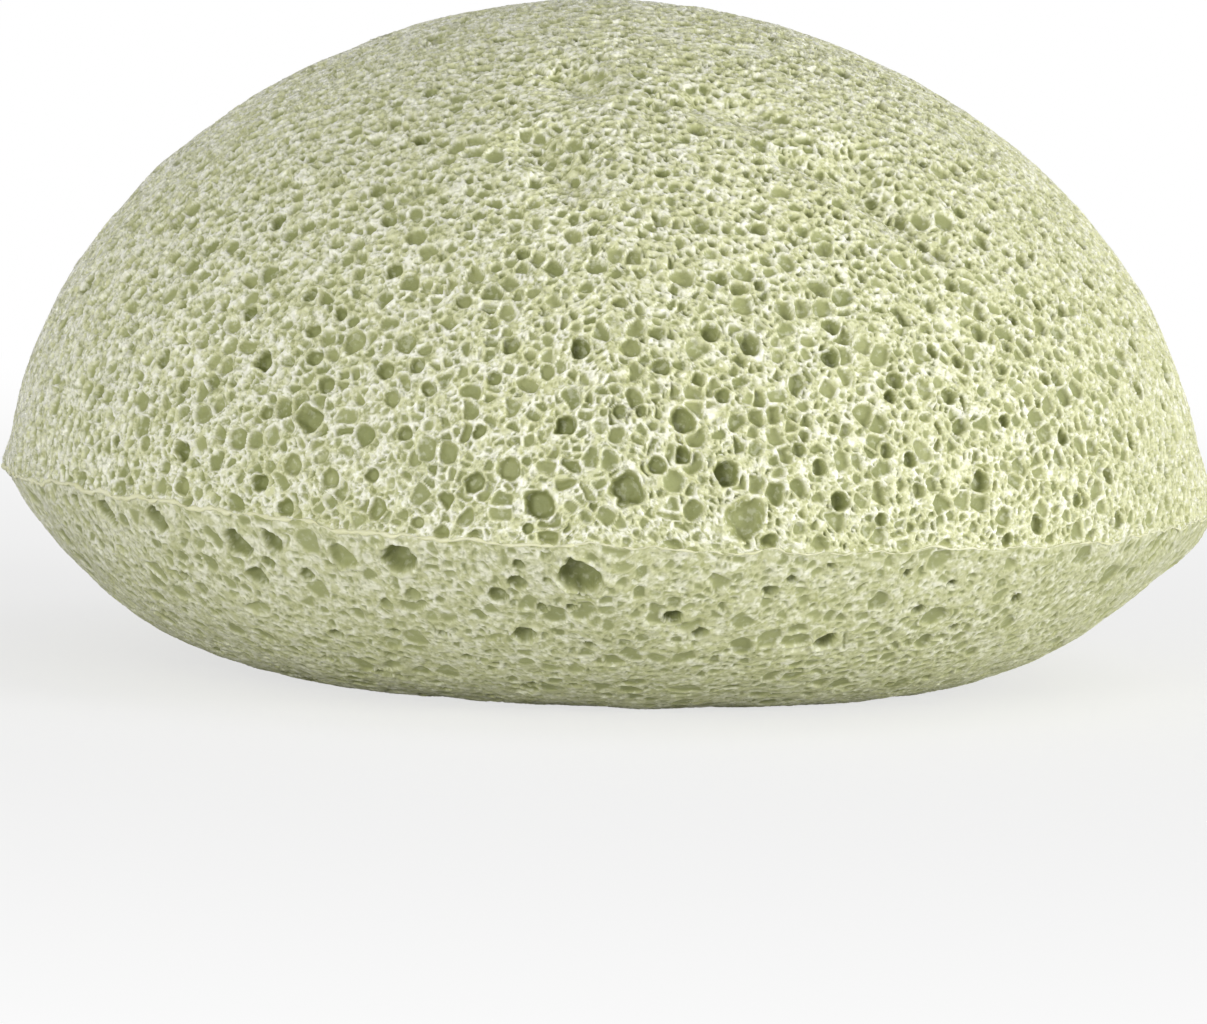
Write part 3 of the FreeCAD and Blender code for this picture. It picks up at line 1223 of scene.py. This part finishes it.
@dataclass
class DomeFoam(FoamPiece):
    """The open-cell dome above the rim."""

    name: str = "dome"
    upward: bool = True
    rings: int = 500
    coarse_rings: int = 70
    marks: tuple[PoreMark, ...] = DOME_MARKS + FarPores().marks()
    pattern: FoamPattern = DOME_CELLS
    finish: FoamFinish = DOME_FINISH
    dents: tuple[Dent, ...] = DOME_DENTS

    def surface(self, disc: RingDisc) -> np.ndarray:
        """Points of the smooth dome, with its dents.

        Args:
            disc: Layout of the points.

        Returns:
            One row of x, y and z for each point.
        """
        share, bearing = disc.places()
        points = self.form.dome_points(bearing, (1.0 - share) * (math.pi / 2.0))
        for dent in self.dents:
            points = self.pressed(points, dent)
        return points

    def pressed(self, points: np.ndarray, dent: Dent) -> np.ndarray:
        """Presses one dent in towards the middle of the dome.

        Args:
            points: Points of the dome.
            dent: The dent.

        Returns:
            The moved points.
        """
        ends = np.radians(np.array([dent.start, dent.end]))
        start, end = self.form.dome_points(ends[:, 0], ends[:, 1])
        along = end - start
        reach = np.clip((points - start) @ along / (along @ along), 0.0, 1.0)
        away = np.linalg.norm(points - (start + reach[:, None] * along), axis=1)
        depth = dent.depth_mm * MM * np.exp(-((away / (dent.width_mm * MM)) ** 2))
        inward = np.array([0.0, 0.0, self.form.rim_height]) - points
        inward /= np.linalg.norm(inward, axis=1, keepdims=True)
        return points + depth[:, None] * inward

    def mark_places(self) -> np.ndarray:
        """Where the placed pores are."""
        bearings, rises = np.radians([(mark.bearing, mark.climb) for mark in self.marks]).T
        return self.form.dome_points(bearings, rises)


@dataclass
class Underside(FoamPiece):
    """The shallow bowl below the rim, with its smooth skin and its flat foot."""

    name: str = "underside"
    upward: bool = False
    rings: int = 360
    coarse_rings: int = 60
    marks: tuple[PoreMark, ...] = UNDERSIDE_MARKS
    pattern: FoamPattern = UNDERSIDE_CELLS
    finish: FoamFinish = SKIN_FINISH

    def surface(self, disc: RingDisc) -> np.ndarray:
        """Points of the smooth bowl, evenly spaced from the foot's centre to the rim.

        Args:
            disc: Layout of the points.

        Returns:
            One row of x, y and z for each point.
        """
        share, bearing = disc.places()
        arc_radius, _, _, low, high = self.form.bowl_arc()
        foot = self.form.foot_radius
        side = arc_radius * (high - low)
        run = share * (foot + side)
        climb = np.where(run < foot, run / foot - 1.0, (run - foot) / side)
        return self.form.bowl_points(bearing, climb)

    def mark_places(self) -> np.ndarray:
        """Where the placed pores are."""
        bearings, climbs = np.array([(mark.bearing, mark.climb) for mark in self.marks]).T
        return self.form.bowl_points(np.radians(bearings), climbs / 100.0)

    def build(self) -> bpy.types.Object:
        """Makes the bowl and keeps every point on or above the surface that the sponge stands on.

        Returns:
            The finished object.
        """
        piece = super().build()
        mesh = piece.data
        places = np.empty(len(mesh.vertices) * 3, np.float32)
        mesh.vertices.foreach_get("co", places)
        places[2::3] = np.maximum(places[2::3], 0.0)
        mesh.vertices.foreach_set("co", places)
        mesh.update()
        return piece


@dataclass(frozen=True)
class SeamFinish:
    """A ridge of solid konjac gel, pressed out between the mould's halves: smooth, pale yellow and a little shiny."""

    name: str = "moulded_konjac_seam"
    colour: str = "EFEED2"
    shade: str = "CDCD98"
    roughness: float = 0.35
    ior: float = 1.38
    patch_mm: float = 1.6
    patch_depth_mm: float = 0.1
    patch_strength: float = 0.4

    def material(self) -> bpy.types.Material:
        """Makes the material.

        Returns:
            The material.
        """
        finish = bpy.data.materials.new(self.name)
        tree = empty_tree(finish)
        where = result(make(tree, "ShaderNodeTexCoord"), "Object")
        patches = make(tree, Kind.NOISE, {"Vector": where, "Scale": 1.0 / (self.patch_mm * MM), "Detail": 3.0})
        colour = make(tree, Kind.TINT, patches, linear(self.colour), linear(self.shade))
        look = {"Base Color": colour, "Roughness": self.roughness, "IOR": self.ior}
        depth = self.patch_depth_mm * MM
        end_material(tree, look, {"Strength": self.patch_strength, "Distance": depth, "Height": patches})
        return finish


@dataclass
class RimSeam:
    """The thin raised line round the rim: a Geometry Nodes tree runs an uneven ridge along it."""

    form: SpongeForm
    points: int = 1600
    thinnest_mm: float = 0.02
    thickest_mm: float = 0.5
    wander_mm: float = 0.5
    spacing_mm: float = 0.9
    fades_from_mm: float = -14.0  # to the right of here the ridge gets slimmer
    fades_to_mm: float = 8.0
    slimmest_share: float = 0.4  # of its thickness, past there
    noise_span: tuple[float, float] = (0.3, 0.7)  # from the thinnest to the thickest
    corners: int = 8  # of the ridge's section
    finish: SeamFinish = field(default_factory=SeamFinish)

    def tree(self) -> bpy.types.NodeTree:
        """Makes the tree, which sweeps a small round section along the line, thicker here and thinner there.

        Returns:
            The tree.
        """
        tree = geometry_tree("seam line", ("Line", "Ridge"), (), labelled(self))
        source = make(tree, "NodeGroupInput").outputs
        place = make(tree, Kind.PLACE)
        fineness = make(tree, Kind.DIVIDE, 1.0, source["Spacing"])
        noise = make(tree, Kind.NOISE, {"Vector": place, "Scale": fineness, "Detail": 2.0})
        limits = (source["Thinnest"], source["Thickest"])
        thickness = make(tree, Kind.LINEAR, noise, *self.noise_span, *limits)
        across = result(make(tree, Kind.SPLIT, place), "X")
        span = (source["Fades from"], source["Fades to"])
        fading = make(tree, Kind.SMOOTH, across, *span, 1.0, source["Slimmest share"])
        slimmed = make(tree, Kind.MULTIPLY, thickness, fading)
        centred = make(tree, Kind.OFFSET, result(noise, "Color"), NOISE_MIDDLE)
        shift = make(tree, Kind.SCALE, {"Vector": centred, "Scale": source["Wander"]})
        path = make(tree, "GeometryNodeMeshToCurve", {"Mesh": source["Line"]})
        path = make(tree, "GeometryNodeSetPosition", {"Geometry": path, "Offset": shift})
        section = make(tree, "GeometryNodeCurvePrimitiveCircle", {"Resolution": self.corners, "Radius": 0.5})
        sweep = {"Curve": path, "Profile Curve": section, "Scale": slimmed}
        ridge = make(tree, "GeometryNodeCurveToMesh", sweep)
        ridge = make(tree, "GeometryNodeSetShadeSmooth", {"Geometry": ridge})
        end_tree(tree, "Ridge", ridge, source["Finish"])
        return tree

    def build(self) -> bpy.types.Object:
        """Makes the ridge.

        Returns:
            The finished object.
        """
        bearing = np.arange(self.points) * (2.0 * math.pi / self.points)
        line = bpy.data.meshes.new("seam_look")
        steps = [(step, (step + 1) % self.points) for step in range(self.points)]
        line.from_pydata(self.form.rim_points(bearing).tolist(), steps, [])
        piece = link_object("seam_look", line)
        run_tree(piece, self.tree(), {**labelled(self), "Finish": self.finish.material()})
        return piece


@dataclass(frozen=True)
class Lamp:
    """A square soft lamp, with its place and its side in metres."""

    name: str
    place: tuple[float, float, float]
    side: float
    watts: float

    def build(self, target: Vector) -> None:
        """Adds the lamp to the scene.

        Args:
            target: The place that it faces.
        """
        data = bpy.data.lights.new(self.name, "AREA")
        data.size = self.side
        data.energy = self.watts
        lamp = link_object(self.name, data)
        lamp.location = self.place
        lamp.rotation_euler = (target - Vector(self.place)).to_track_quat("-Z", "Y").to_euler()


@dataclass(frozen=True)
class Studio:
    """White floor, soft lamps and the camera that took the photograph."""

    distance: float = 0.6
    elevation: float = math.radians(6.5)
    roll: float = math.radians(1.75)
    aim_right: float = -0.1 * MM
    aim_up: float = 10.38 * MM
    frame_width_px: float = 1207.0
    px_per_mm: float = 14.98
    sensor_mm: float = 36.0
    nearest_seen: float = 0.01
    lamps: tuple[Lamp, ...] = (
        Lamp("left softbox", (-0.33, -0.6, 0.08), 0.2, 2.4),
        Lamp("right softbox", (0.68, -0.25, 0.12), 0.22, 3.6),
        Lamp("overhead softbox", (0.34, -0.05, 0.58), 0.4, 0.56),
    )
    lit_height: float = 0.02  # the lamps face this far above the floor's middle
    sky: float = 0.4  # light from all round, where the camera or a mirrored ray doesn't see it
    floor_half: float = 6.0
    floor_colour: str = "F4F4F4"
    white_reach: tuple[float, float] = (0.05, 0.25)  # from the middle to where the floor shows quite white
    white_share: tuple[float, float] = (0.68, 1.0)

    def camera(self) -> None:
        """Places the camera and makes it the scene's own."""
        forward = Vector((0.0, math.cos(self.elevation), -math.sin(self.elevation)))
        up = Vector((0.0, math.sin(self.elevation), math.cos(self.elevation)))
        eye = -self.distance * forward
        aim = Vector((self.aim_right, 0.0, 0.0)) + self.aim_up * up
        data = bpy.data.cameras.new("camera")
        data.sensor_width = self.sensor_mm
        focal_px = self.px_per_mm / MM * self.distance
        data.lens = focal_px / self.frame_width_px * self.sensor_mm
        data.clip_start = self.nearest_seen
        camera = link_object("camera", data)
        turned = (aim - eye).to_track_quat("-Z", "Y").to_matrix().to_4x4()
        camera.matrix_world = Matrix.Translation(eye) @ turned @ Matrix.Rotation(self.roll, 4, "Z")
        bpy.context.scene.camera = camera

    def floor(self) -> bpy.types.Object:
        """Makes a wide pale floor, which shows white to the camera and keeps the shadow.

        Returns:
            The floor.
        """
        mesh = bpy.data.meshes.new("floor")
        half = self.floor_half
        edges = [(-half, -half, 0.0), (half, -half, 0.0), (half, half, 0.0), (-half, half, 0.0)]
        mesh.from_pydata(edges, [], [(0, 1, 2, 3)])
        floor = link_object("floor", mesh)
        # White paper: matt, and bright enough that only the shadow stands out from the background
        paper = bpy.data.materials.new("white_paper")
        tree = empty_tree(paper)
        matt = make(tree, "ShaderNodeBsdfDiffuse", {"Color": linear(self.floor_colour)})
        glow = make(tree, "ShaderNodeEmission", {"Color": linear(WHITE), "Strength": 1.0})
        seen = result(make(tree, "ShaderNodeLightPath"), "Is Camera Ray")
        where = result(make(tree, "ShaderNodeTexCoord"), "Object")
        away = result(make(tree, Kind.LENGTH, where), "Value")
        share = make(tree, Kind.MULTIPLY, seen, make(tree, Kind.SMOOTH, away, *self.white_reach, *self.white_share))
        mixed = make(tree, "ShaderNodeMixShader", share, matt, glow)
        make(tree, "ShaderNodeOutputMaterial", {"Surface": mixed})
        mesh.materials.append(paper)
        return floor

    def world(self) -> None:
        """Lights the scene evenly from all round, with a white background."""
        world = bpy.data.worlds.new("studio")
        tree = empty_tree(world)
        seen = make(tree, "ShaderNodeLightPath")
        shown = make(tree, Kind.MAXIMUM, result(seen, "Is Camera Ray"), result(seen, "Is Glossy Ray"))
        shown = make(tree, Kind.MAXIMUM, shown, result(seen, "Is Transmission Ray"))
        strength = make(tree, Kind.LINEAR, {"Value": shown, "To Min": self.sky, "To Max": 1.0})
        sky = make(tree, "ShaderNodeBackground", {"Color": linear(WHITE), "Strength": strength})
        make(tree, "ShaderNodeOutputWorld", {"Surface": sky})
        bpy.context.scene.world = world

    def build(self) -> None:
        """Sets up the whole studio."""
        bpy.context.scene.view_settings.view_transform = "Standard"
        self.camera()
        self.world()
        for lamp in self.lamps:
            lamp.build(Vector((0.0, 0.0, self.lit_height)))
        self.floor()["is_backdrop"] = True


def corners(box: tuple[Vector, Vector]) -> list[list[float]]:
    """A box as plain lists of numbers."""
    return [list(corner) for corner in box]


def main() -> None:
    """Builds the sponge around the frame and lights it."""
    logging.basicConfig(level=logging.INFO, format="%(name)s: %(message)s")
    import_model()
    solid_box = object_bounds()
    form = SpongeForm.from_frame()

    dome = DomeFoam(form).build()
    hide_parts("dome_foam")

    underside = Underside(form).build()
    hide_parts("underside_skin", "base_foam")

    seam = RimSeam(form).build()
    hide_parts("rim_seam")

    for piece in (dome, underside, seam):
        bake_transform(piece)
        LOG.info("%s: %d faces", piece.name, len(piece.data.polygons))

    Studio().build()
    {"cad": corners(solid_box), "visual": corners(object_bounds())}


if __name__ == "__main__":
    main()
